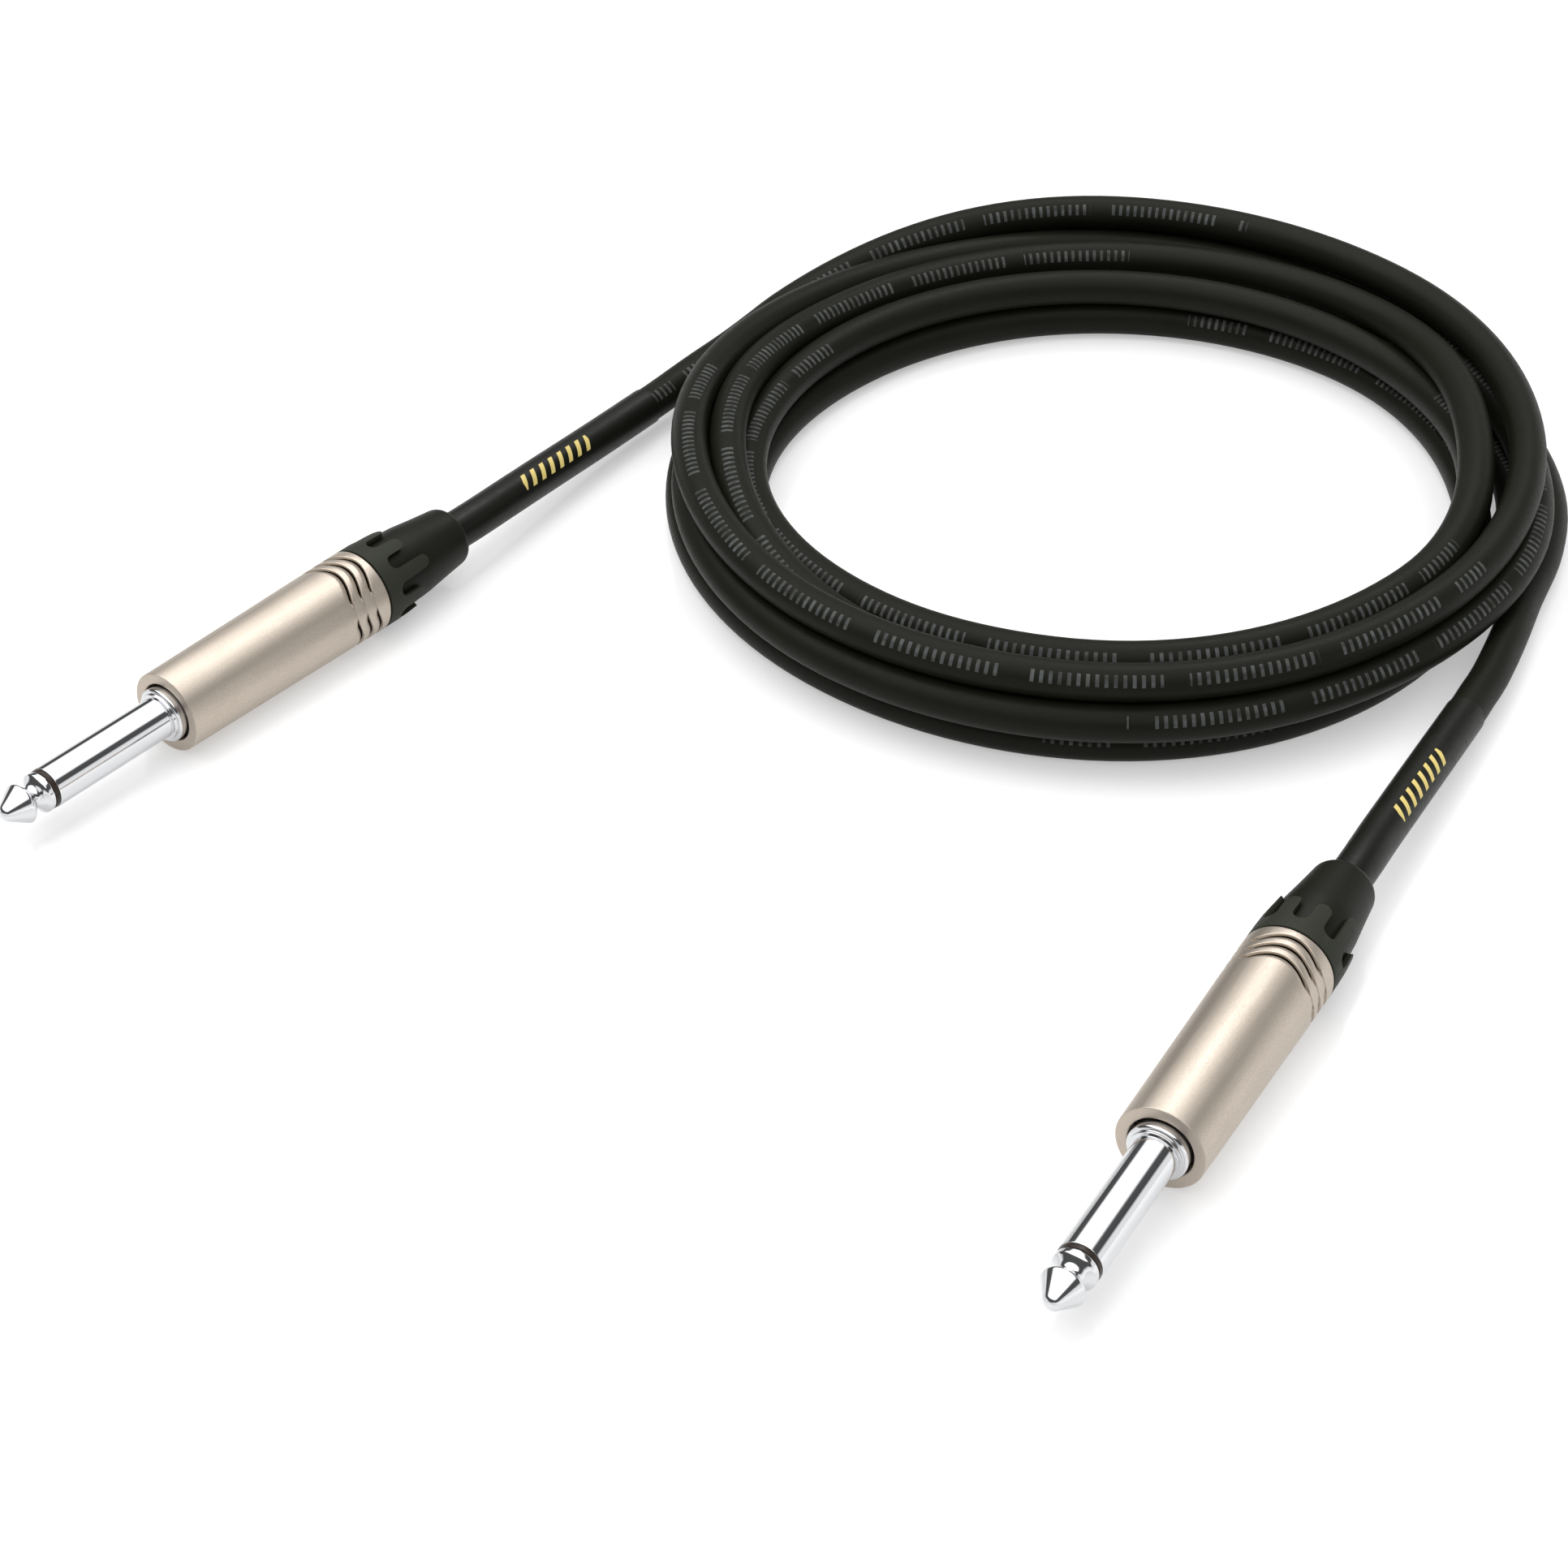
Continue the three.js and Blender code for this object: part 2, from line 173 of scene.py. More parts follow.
def smooth_line(points, step):
    """Points about a step apart on a smooth curve through the given ones."""
    points = np.asarray(points, float)
    at = lengths_along(points)
    return hermite(at, points, np.linspace(0, at[-1], round(at[-1] / step) + 1))


NEARLY_STRAIGHT = -0.985  # cosine between the two sides of a corner that is too blunt to round


def rounded(profile, radius, steps=4):
    """A closed profile, or one that starts and ends on the axis, with its sharp corners rounded."""
    points = [np.asarray(p, float) for p in profile]
    is_open = points[0][1] == 0
    result = []
    for i, corner in enumerate(points):
        before, after = points[i - 1], points[(i + 1) % len(points)]
        back, ahead = before - corner, after - corner
        reach = min(radius, 0.45 * np.linalg.norm(back), 0.45 * np.linalg.norm(ahead))
        at_end = is_open and i in (0, len(points) - 1)
        if at_end or reach < 1e-6:
            result.append(corner)
            continue
        back /= np.linalg.norm(back)
        ahead /= np.linalg.norm(ahead)
        if back @ ahead < NEARLY_STRAIGHT:
            result.append(corner)
            continue
        start, end = corner + back * reach, corner + ahead * reach
        for t in np.linspace(0, 1, steps + 1):
            result.append((1 - t) ** 2 * start + 2 * t * (1 - t) * corner + t**2 * end)
    return np.array(result)


# ---- Mesh makers ------------------------------------------------------------------------------------

def skin(name, rings, lengths, loop=False, capped=False, crease=CREASE):
    """A mesh over closed rings of points in mm, with u around each ring and v = its length in metres."""
    sides = len(rings[0])
    bm = bmesh.new()
    layer = bm.loops.layers.uv.new("UVMap")
    rows = [[bm.verts.new(point * MM) for point in ring] for ring in rings]
    last = len(rows) if loop else len(rows) - 1
    for i in range(last):
        ring, following = rows[i], rows[(i + 1) % len(rows)]
        v0, v1 = lengths[i] * MM, lengths[(i + 1) % len(rows)] * MM
        for k in range(sides):
            j = (k + 1) % sides
            face = bm.faces.new((ring[k], ring[j], following[j], following[k]))
            corners = ((k, v0), (k + 1, v0), (k + 1, v1), (k, v1))
            for corner, (u, v) in zip(face.loops, corners):
                corner[layer].uv = (u / sides, v)
    if capped:
        bm.faces.new(rows[0])
        bm.faces.new(rows[-1])
    return finish_mesh(name, bm, crease)


def finish_mesh(name, bm, crease=CREASE):
    """An object from a bmesh, with merged poles, faces turned outwards and smooth shading."""
    bmesh.ops.remove_doubles(bm, verts=bm.verts, dist=1e-7)
    bmesh.ops.recalc_face_normals(bm, faces=bm.faces)
    mesh = bpy.data.meshes.new(name)
    bm.to_mesh(mesh)
    bm.free()
    mesh.shade_smooth()
    mesh.set_sharp_from_angle(angle=math.radians(crease))
    piece = bpy.data.objects.new(name, mesh)
    bpy.context.scene.collection.objects.link(piece)
    return piece


def turned_rings(profile, sides=ROUND, relief=None, bow=None):
    """Rings around +X for a profile of (x, radius). A third column is how much of the relief is taken
    off the radius at each point, and a fourth how much of the bow is taken off x."""
    profile = np.asarray(profile, float)
    angles = np.linspace(0, 2 * math.pi, sides, endpoint=False)
    x = np.repeat(profile[:, :1], sides, axis=1)
    radius = np.repeat(profile[:, 1:2], sides, axis=1)
    if relief is not None:
        radius = radius - profile[:, 2:3] * relief(x, angles[None, :])
    if bow is not None:
        x = x - profile[:, 3:4] * bow(angles[None, :])
    return np.stack([x, radius * np.cos(angles), radius * np.sin(angles)], axis=2)


def turned(name, profile, sides=ROUND, relief=None, bow=None, crease=CREASE):
    """A solid of revolution around +X, closed on the axis or around its own profile."""
    profile = np.asarray(profile, float)
    on_axis = profile[0][1] == 0 and profile[-1][1] == 0
    rings = turned_rings(profile, sides, relief, bow)
    return skin(name, rings, profile[:, 0], loop=not on_axis, crease=crease)


def tube_rings(line, radii, sides):
    """Rings around the points of a line. The middle of u faces PRINT_SIDE."""
    tangents = np.gradient(line, axis=0)
    tangents /= np.linalg.norm(tangents, axis=1)[:, None]
    facing = PRINT_SIDE - (tangents @ PRINT_SIDE)[:, None] * tangents
    facing /= np.linalg.norm(facing, axis=1)[:, None]
    aside = np.cross(tangents, facing)
    angles = np.linspace(0, 2 * math.pi, sides, endpoint=False)
    across = facing[:, None] * np.cos(angles)[None, :, None] + aside[:, None] * np.sin(angles)[None, :, None]
    return line[:, None] - across * np.asarray(radii)[:, None, None]


def prism(outline, low, high):
    """A closed bmesh of an (x, y) outline in mm, from z = low to z = high."""
    bm = bmesh.new()
    floor = [bm.verts.new((x * MM, y * MM, low * MM)) for x, y in outline]
    roof = [bm.verts.new((x * MM, y * MM, high * MM)) for x, y in outline]
    bm.faces.new(floor)
    bm.faces.new(roof)
    for k in range(len(outline)):
        j = (k + 1) % len(outline)
        bm.faces.new((floor[k], floor[j], roof[j], roof[k]))
    return bm


def apply_modifiers(piece):
    """Replaces a piece's mesh by what its modifiers make of it."""
    graph = bpy.context.evaluated_depsgraph_get()
    mesh = bpy.data.meshes.new_from_object(piece.evaluated_get(graph))
    piece.modifiers.clear()
    piece.data = mesh
    return piece


def cut_around(piece, outlines, start, low, high):
    """Cuts outlines through a turned piece at even places around its axis, from the start angle. The
    cuts reach from one distance from the axis to another."""
    for i, outline in enumerate(outlines):
        shape = prism(outline, low, high)
        turn = Matrix.Rotation(start + 2 * math.pi * i / len(outlines), 3, "X")
        bmesh.ops.rotate(shape, verts=shape.verts, cent=(0, 0, 0), matrix=turn)
        cutter = finish_mesh("cutter", shape)
        modifier = piece.modifiers.new("slot", "BOOLEAN")
        modifier.operation = "DIFFERENCE"
        modifier.solver = "MANIFOLD"
        modifier.object = cutter
        apply_modifiers(piece)
        bpy.data.objects.remove(cutter)
    return piece


def soften_edges(piece, width):
    """Bevels a piece's sharp edges and shades it smoothly again."""
    modifier = piece.modifiers.new("edges", "BEVEL")
    modifier.width = width * MM
    modifier.segments = 2
    modifier.limit_method = "ANGLE"
    modifier.angle_limit = math.radians(40)
    apply_modifiers(piece)
    piece.data.shade_smooth()
    piece.data.set_sharp_from_angle(angle=math.radians(CREASE))
    return piece


def joined(first, second):
    """The second object's mesh added to the first object's."""
    bm = bmesh.new()
    bm.from_mesh(first.data)
    bm.from_mesh(second.data)
    bm.to_mesh(first.data)
    bm.free()
    bpy.data.objects.remove(second)
    return first


# ---- Camera -----------------------------------------------------------------------------------------

CAMERA_ELEVATION = math.radians(36.83)
CAMERA_DISTANCE = 0.541
CAMERA_AIM = Vector((0.0152, 0.0274, 0.0))
CAMERA_LENS = 85.5


def add_camera():
    camera = bpy.data.objects.new("camera", bpy.data.cameras.new("camera"))
    back = Vector((0, -math.cos(CAMERA_ELEVATION), math.sin(CAMERA_ELEVATION)))
    camera.location = CAMERA_AIM + back * CAMERA_DISTANCE
    camera.rotation_euler = (math.pi / 2 - CAMERA_ELEVATION, 0, 0)
    camera.data.lens = CAMERA_LENS
    camera.data.sensor_width = 36
    bpy.context.scene.collection.objects.link(camera)
    bpy.context.scene.camera = camera


# ---- Materials --------------------------------------------------------------------------------------

class Finish:
    """A Principled material with short ways to drive its colour, roughness and bump from nodes."""

    def __init__(self, name, metallic=0.0):
        self.material = bpy.data.materials.new(name)
        self.material.use_nodes = True
        self.tree = self.material.node_tree
        self.shader = self.tree.nodes["Principled BSDF"]
        self.shader.inputs["Metallic"].default_value = metallic
        self.places = self.tree.nodes.new("ShaderNodeTexCoord")

    def noise(self, scale, detail=3.0, stretch=(1, 1, 1), space="Object"):
        """A noise with features about 1 / scale metres across, stretched by axis."""
        mapping = self.tree.nodes.new("ShaderNodeMapping")
        mapping.inputs["Scale"].default_value = [scale / s for s in stretch]
        self.tree.links.new(self.places.outputs[space], mapping.inputs["Vector"])
        texture = self.tree.nodes.new("ShaderNodeTexNoise")
        texture.inputs["Scale"].default_value = 1.0
        texture.inputs["Detail"].default_value = detail
        self.tree.links.new(mapping.outputs["Vector"], texture.inputs["Vector"])
        return texture.outputs["Fac"]

    def math(self, operation, first, second=0.0):
        node = self.tree.nodes.new("ShaderNodeMath")
        node.operation = operation
        for socket, value in zip(node.inputs, (first, second)):
            if isinstance(value, (int, float)):
                socket.default_value = value
            else:
                self.tree.links.new(value, socket)
        return node.outputs["Value"]

    def spread(self, value, low, high):
        """The value's middle part, 0.3 to 0.7, mapped to low to high."""
        node = self.tree.nodes.new("ShaderNodeMapRange")
        settings = (("From Min", 0.3), ("From Max", 0.7), ("To Min", low), ("To Max", high))
        for socket, number in settings:
            node.inputs[socket].default_value = number
        self.tree.links.new(value, node.inputs["Value"])
        return node.outputs["Result"]

    def blend(self, share, first, second):
        """A colour between two colours or colour sockets."""
        node = self.tree.nodes.new("ShaderNodeMix")
        node.data_type = "RGBA"
        self.tree.links.new(share, node.inputs["Factor"])
        for socket, value in ((node.inputs[6], first), (node.inputs[7], second)):
            if isinstance(value, tuple):
                socket.default_value = (*value, 1.0)
            else:
                self.tree.links.new(value, socket)
        return node.outputs[2]

    def colour(self, value):
        self.tree.links.new(value, self.shader.inputs["Base Color"])

    def roughness(self, value):
        self.tree.links.new(value, self.shader.inputs["Roughness"])

    def bump(self, *layers):
        """Bumps from (height, distance in mm) pairs, one on the other."""
        normal = None
        for height, distance in layers:
            node = self.tree.nodes.new("ShaderNodeBump")
            node.inputs["Distance"].default_value = distance * MM
            self.tree.links.new(height, node.inputs["Height"])
            if normal:
                self.tree.links.new(normal, node.inputs["Normal"])
            normal = node.outputs["Normal"]
        self.tree.links.new(normal, self.shader.inputs["Normal"])

    def around_and_along(self):
        """The distance in metres around a tube from its printed line, and the distance along it."""
        split = self.tree.nodes.new("ShaderNodeSeparateXYZ")
        self.tree.links.new(self.places.outputs["UV"], split.inputs["Vector"])
        centred = self.math("SUBTRACT", split.outputs["X"], 0.5)
        return self.math("MULTIPLY", centred, 2 * math.pi * CABLE_RADIUS * MM), split.outputs["Y"]

    def place_in_barrel(self):
        """How far along a barrel a point lies, and how deep under its tapered surface, in metres."""
        split = self.tree.nodes.new("ShaderNodeSeparateXYZ")
        self.tree.links.new(self.places.outputs["Object"], split.inputs["Vector"])
        squares = [self.math("POWER", split.outputs[axis], 2.0) for axis in "YZ"]
        radius = self.math("SQRT", self.math("ADD", *squares))
        slope = (BARREL_REAR_RADIUS - BARREL_FRONT_RADIUS) / BARREL_LENGTH
        surface = self.math("ADD", self.math("MULTIPLY", split.outputs["X"], slope), BARREL_FRONT_RADIUS * MM)
        return split.outputs["X"], self.math("SUBTRACT", surface, radius)

    def all_of(self, *masks):
        product = masks[0]
        for mask in masks[1:]:
            product = self.math("MULTIPLY", product, mask)
        return product

    def below(self, value, limit):
        return self.math("LESS_THAN", value, limit)

    def within(self, value, middle, half):
        """1 where the value is no further than half from the middle."""
        return self.below(self.math("ABSOLUTE", self.math("SUBTRACT", value, middle)), half)

    def dashes(self, value, pitch, share):
        """1 over the first share of each pitch, in mm, of a length in metres."""
        turns = self.math("DIVIDE", value, pitch * MM)
        return self.below(self.math("FRACT", turns), share)


def plating():
    """Bright plating with faint turning rings and wiping streaks."""
    finish = Finish("plating", metallic=1.0)
    cloud = finish.noise(90, 4)
    streaks = finish.noise(2600, 2, stretch=(30, 1, 1))
    finish.colour(finish.blend(cloud, (0.6, 0.61, 0.63), (0.68, 0.68, 0.69)))
    finish.roughness(finish.spread(streaks, 0.045, 0.1))
    finish.bump((finish.noise(5200, 1, stretch=(1, 30, 30)), 0.0012), (streaks, 0.0008))
    return finish.material


def nickel():
    """Satin nickel: bead-blasted grain over soft lengthwise draw marks, with painted shade inside the grip's
    slits.
    """
    finish = Finish("nickel", metallic=1.0)
    grain = finish.noise(6500, 3)
    draw = finish.noise(1500, 3, stretch=(25, 1, 1))
    cloud = finish.noise(120, 4)
    tone = finish.blend(cloud, (0.52, 0.455, 0.385), (0.58, 0.515, 0.445))
    metal = finish.blend(finish.spread(grain, 0.0, 0.6), tone, (0.38, 0.33, 0.28))
    along, depth = finish.place_in_barrel()
    in_slit = finish.within(depth, 0.66 * MM, 0.26 * MM)
    in_grip = finish.within(along, 36 * MM, 4 * MM)
    # Painted shade: the metal deep in each grip slit is coloured near-black to stand in for the shadow there.
    painted_slit_shade = finish.all_of(in_slit, in_grip)
    finish.colour(finish.blend(painted_slit_shade, metal, (0.012, 0.011, 0.01)))
    finish.roughness(finish.math("ADD", finish.spread(grain, 0.38, 0.48), finish.spread(draw, 0.0, 0.05)))
    finish.bump((draw, 0.003), (grain, 0.012))
    return finish.material


def plastic(name, tones, grain_scale, grain_depth, rough, gloss=0.2):
    """A moulded plastic or rubber with a fine grain and a slightly uneven sheen. The tones are its
    darkest and lightest colour, and rough is the range of its roughness."""
    finish = Finish(name)
    finish.shader.inputs["Specular IOR Level"].default_value = gloss
    grain = finish.noise(grain_scale, 2)
    cloud = finish.noise(160, 4)
    finish.colour(finish.blend(cloud, *tones))
    finish.roughness(finish.math("ADD", finish.spread(grain, *rough), finish.spread(cloud, -0.03, 0.03)))
    finish.bump((grain, grain_depth))
    return finish


JACKET_TONES = ((0.006, 0.0066, 0.0038), (0.0095, 0.0102, 0.0065))
FILM_TONES = ((0.005, 0.0054, 0.0038), (0.008, 0.0085, 0.006))
BROWN_TONES = ((0.018, 0.012, 0.01), (0.035, 0.024, 0.018))
NYLON_TONES = ((0.019, 0.0205, 0.0145), (0.028, 0.03, 0.022))
CHUCK_TONES = ((0.028, 0.029, 0.026), (0.04, 0.041, 0.037))
RUBBER_TONES = ((0.0065, 0.007, 0.0042), (0.01, 0.011, 0.007))
CORE_TONES = ((0.74, 0.71, 0.64), (0.82, 0.8, 0.74))
PRINT_GREY = (0.085, 0.09, 0.09)
PRINT_GOLD = (0.62, 0.5, 0.17)


def printed(finish, mark, ink):
    """Lays an ink over a finish's colour where the mark is."""
    base = finish.shader.inputs["Base Color"].links[0].from_socket
    finish.colour(finish.blend(mark, base, ink))
    return finish.material


def jacket():
    """The cable's jacket, with a line of plain grey bars where such a cable is printed. The bars come
    in blocks, and the blocks in runs."""
    finish = plastic("jacket", JACKET_TONES, 2400, 0.004, (0.42, 0.52), gloss=0.09)
    around, along = finish.around_and_along()
    bars = finish.dashes(along, 1.3, 0.42)
    blocks = finish.dashes(along, 23.0, 0.84)
    runs = finish.dashes(along, 310.0, 0.6)
    line = finish.within(around, 0.0, 0.95 * MM)
    worn = finish.spread(finish.noise(260, 2, stretch=(20, 1, 1), space="UV"), 0.25, 1.0)
    return printed(finish, finish.all_of(bars, blocks, runs, line, worn), PRINT_GREY)


def shrink_sleeve():
    """The label sleeve: smooth black film with a short hatched mark in gold."""
    finish = plastic("shrink_sleeve", FILM_TONES, 1300, 0.005, (0.34, 0.44), gloss=0.16)
    around, along = finish.around_and_along()
    slanted = finish.math("ADD", along, finish.math("MULTIPLY", around, 0.6))
    line = finish.within(around, 0.0, 1.2 * MM)
    middle = finish.within(along, 33 * MM, 9 * MM)
    return printed(finish, finish.all_of(line, middle, finish.dashes(slanted, 2.4, 0.42)), PRINT_GOLD)


def stranded_copper():
    """Bare copper with the lay of its strands."""
    finish = Finish("bare_copper", metallic=1.0)
    strands = finish.noise(4200, 1, stretch=(6, 1, 1))
    finish.colour(finish.blend(finish.noise(400, 3), (0.66, 0.36, 0.2), (0.8, 0.5, 0.31)))
    finish.roughness(finish.spread(strands, 0.25, 0.45))
    finish.bump((strands, 0.05))
    return finish.material


def tinned_brass():
    """Solder-tinned brass, slightly dull and uneven."""
    finish = Finish("tinned_brass", metallic=1.0)
    cloud = finish.noise(700, 4)
    finish.colour(finish.blend(cloud, (0.62, 0.59, 0.52), (0.78, 0.76, 0.71)))
    finish.roughness(finish.spread(cloud, 0.25, 0.45))
    finish.bump((cloud, 0.01))
    return finish.material


def make_materials():
    """One material for each material slot of the record."""
    insulation = plastic("insulation", BROWN_TONES, 1800, 0.003, (0.28, 0.36))
    nylon = plastic("boot_nylon", NYLON_TONES, 5200, 0.02, (0.5, 0.62), gloss=0.13)
    chuck_nylon = plastic("chuck_nylon", CHUCK_TONES, 3000, 0.008, (0.45, 0.55))
    rubber = plastic("gland_rubber", RUBBER_TONES, 3600, 0.005, (0.4, 0.5), gloss=0.11)
    core = plastic("core_insulation", CORE_TONES, 900, 0.004, (0.35, 0.45))
    return {
        "contact_plating": plating(),
        "contact_insulation": insulation.material,
        "solder_lug": tinned_brass(),
        "barrel_nickel": nickel(),
        "chuck_nylon": chuck_nylon.material,
        "boot_nylon": nylon.material,
        "gland_rubber": rubber.material,
        "cable_jacket": jacket(),
        "shrink_sleeve": shrink_sleeve(),
        "core_insulation": core.material,
        "bare_copper": stranded_copper(),
    }


def dress(piece, slot):
    """Gives a piece the material of a record slot."""
    piece.data.materials.clear()
    piece.data.materials.append(MATERIALS[slot])
    return piece


# ---- The cable --------------------------------------------------------------------------------------

def plug_frame(letter):
    """A plug's own frame, from its boot's hinge in the record."""
    hinge = next(j for j in frame["joints"] if j["name"] == f"boot_turn_{letter}")
    along = Vector(hinge["axis"]).normalized()
    across = Vector((0, 0, 1)).cross(along).normalized()
    place = Matrix((along, across, along.cross(across))).transposed().to_4x4()
    place.translation = Vector(hinge["pos_m"]) - along * HINGE_X * MM
    return place


def on_axis(place, x):
    """A point on a plug's axis, in mm in the row frame."""
    return np.array(place @ Vector((x * MM, 0, 0))) / MM


def settled(lanes):
    """Lanes of (radius, height) pushed apart, round by round, so that strands at one bearing end up
    about a diameter apart."""
    per_turn = 360 // STATION
    home = lanes.copy()
    for _ in range(SETTLE_ROUNDS):
        for turns in range(1, len(lanes) // per_turn + 1):
            earlier, later = lanes[: -per_turn * turns], lanes[per_turn * turns :]
            apart = later - earlier
            distance = np.maximum(np.linalg.norm(apart, axis=1), 1e-6)[:, None]
            push = np.clip(2 * CABLE_RADIUS - distance, 0, None) / distance * SETTLE_PUSH * apart
            lanes[: -per_turn * turns] -= push
            lanes[per_turn * turns :] += push
        moved = lanes - home
        moved[1:-1] += SETTLE_EVEN * (moved[:-2] + moved[2:] - 2 * moved[1:-1])
        moved *= SETTLE_KEEP
        moved[:SETTLE_FIXED] = 0
        lanes = home + moved
        lanes[:, 1] = np.maximum(lanes[:, 1], CABLE_RADIUS)
    return lanes


def coil_points():
    """The coil's centreline, a point every few degrees, from its entry to its exit."""
    knots = list(COIL_ENTRY)
    for turn, lanes in enumerate(COIL_LANES):
        knots += [(bearing - 360 * turn, *lane) for bearing, lane in zip(BEARINGS, lanes)]
    last_turn = -360 * (len(COIL_LANES) - 1)
    knots += [(bearing + last_turn, radius, height) for bearing, radius, height in COIL_EXIT]
    knots = np.array(knots)
    swept = -knots[:, 0]
    stations = np.arange(math.ceil(swept[0] / STATION) * STATION, swept[-1], STATION, dtype=float)
    lanes = settled(hermite(swept, knots[:, 1:], stations))
    bearings = np.radians(-stations)
    plan = COIL_CENTRE + lanes[:, :1] * np.stack([np.cos(bearings), np.sin(bearings)], axis=1)
    return np.hstack([plan, lanes[:, 1:]])


def cable_line():
    """The whole centreline, from inside one gland to inside the other."""
    start = [on_axis(PLUG_FRAMES["a"], x) for x in STRAIGHT]
    end = [on_axis(PLUG_FRAMES["b"], x) for x in STRAIGHT]
    to_coil = [*start, *SLEEVE_A_ROUTE, *TAIL_A_ROUTE]
    from_coil = [*end, *SLEEVE_B_ROUTE, *TAIL_B_ROUTE][::-1]
    return smooth_line([*to_coil, *coil_points(), *from_coil], CABLE_STEP)


def tube_along(name, line, radius, sides=32):
    return skin(name, tube_rings(line, np.full(len(line), radius), sides), lengths_along(line), capped=True)


def sleeve_along(name, line, sides=48):
    """A thin sleeve over a stretch of the cable, with rounded lips at its two ends."""
    wall = SLEEVE_OUTER - SLEEVE_INNER
    outer = np.full(len(line), SLEEVE_OUTER)
    outer[[0, -1]] = SLEEVE_OUTER - 0.5 * wall
    inner = np.full(len(line), SLEEVE_INNER)
    outside = tube_rings(line, outer, sides)
    inside = tube_rings(line, inner, sides)[::-1]
    lengths = lengths_along(line)
    rings = np.concatenate([outside, inside])
    return skin(name, rings, np.concatenate([lengths, lengths[::-1]]), loop=True)


def with_close_ends(line, gap=0.12):
    """The line with an extra point close to each end, so that a lip there stays short."""
    first = line[0] + (line[1] - line[0]) * gap / np.linalg.norm(line[1] - line[0])
    last = line[-1] + (line[-2] - line[-1]) * gap / np.linalg.norm(line[-2] - line[-1])
    return np.concatenate([line[:1], [first], line[1:-1], [last], line[-1:]])


def nearest(line, point):
    return int(np.argmin(np.linalg.norm(line - np.asarray(point), axis=1)))


def add_cable():
    """The cable on its whole route, and the two label sleeves on it."""
    line = cable_line()
    cable = dress(tube_along("cable", line, CABLE_RADIUS), "cable_jacket")
    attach(cable, "root")
    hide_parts("cable_coil", "cable_tail_a", "cable_tail_b")
    end_a = nearest(line, SLEEVE_A_ROUTE[-1])
    end_b = nearest(line, SLEEVE_B_ROUTE[-1])
    stretches = {"a": line[: end_a + 1], "b": line[end_b:][::-1]}
    for letter, stretch in stretches.items():
        sleeve = sleeve_along(f"label_sleeve_{letter}_film", with_close_ends(stretch))
        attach(dress(sleeve, "shrink_sleeve"), "root")
        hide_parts(f"label_sleeve_{letter}")


# ---- The plugs --------------------------------------------------------------------------------------

def tip_contact():
    """The tip: a blunt cone, a waist for the jack's spring and a shoulder, on a rod through the plug."""
    head = [
        (TIP_APEX, 0),
        (TIP_APEX, 0.5),
        (TIP_APEX + 0.35, 1.1),
        (TIP_APEX + 3.25, 2.92),
        (TIP_APEX + 3.6, 3.1),
        (TIP_APEX + 3.9, 3.06),
        (TIP_APEX + 4.3, 2.7),
        (TIP_APEX + 4.75, 2.05),
        (TIP_APEX + 5.1, 1.82),
        (TIP_APEX + 5.6, 1.82),
        (TIP_APEX + 5.95, 2.1),
        (TIP_APEX + 6.55, 2.92),
        (TIP_APEX + 6.75, 3.1),
        (RING_FRONT - 0.02, 3.1),
        (RING_FRONT - 0.02, 1.0),
    ]
    rod = [(8.9, 1.0), (8.9, 1.65), (9.3, 1.5), (9.5, 1.0), (9.5, 0)]
    return turned("tip_contact", rounded(head + rod, 0.3, 6))


def front_insulator():
    """The ring between tip and sleeve, and the tube that carries on inside the shaft."""
    return turned("front_insulator", rounded([
        (RING_FRONT, 1.1),
        (RING_FRONT, 3.08),
        (RING_REAR + 0.25, 3.08),
        (RING_REAR + 0.25, 1.9),
        (5.9, 1.9),
        (5.9, 1.1),
    ], 0.06))


def sleeve_contact():
    """The shaft, the stepped collar in the barrel's mouth and the flange behind it."""
    return turned("sleeve_contact", rounded([
        (RING_REAR + 0.27, 2.0),
        (RING_REAR + 0.27, SHAFT_RADIUS),
        (-1.7, SHAFT_RADIUS),
        (-1.7, 3.75),
        (-1.2, 3.75),
        (-1.2, 4.05),
        (-0.95, COLLAR_RADIUS),
        (2.3, COLLAR_RADIUS),
        (2.3, 5.0),
        (5.0, 5.0),
        (5.0, 2.0),
    ], 0.1))


def barrel_radius(x):
    return BARREL_FRONT_RADIUS + (BARREL_REAR_RADIUS - BARREL_FRONT_RADIUS) * x / BARREL_LENGTH


def lobe_wave(angle):
    """1 at the middle of each grip lobe and 0 halfway between two."""
    return 0.5 + 0.5 * np.cos(GRIP_LOBES * (angle - GRIP_LOBE_ANGLE))


def grip_relief(x, angle):
    """The grip's depth around the barrel: three long lobes that fade out between them."""
    return GRIP_DEPTH * np.clip(lobe_wave(angle) / GRIP_FADE, GRIP_LEAST, 1) * np.ones_like(x)


def grip_bow(angle):
    return GRIP_BOW * (1 - lobe_wave(angle))


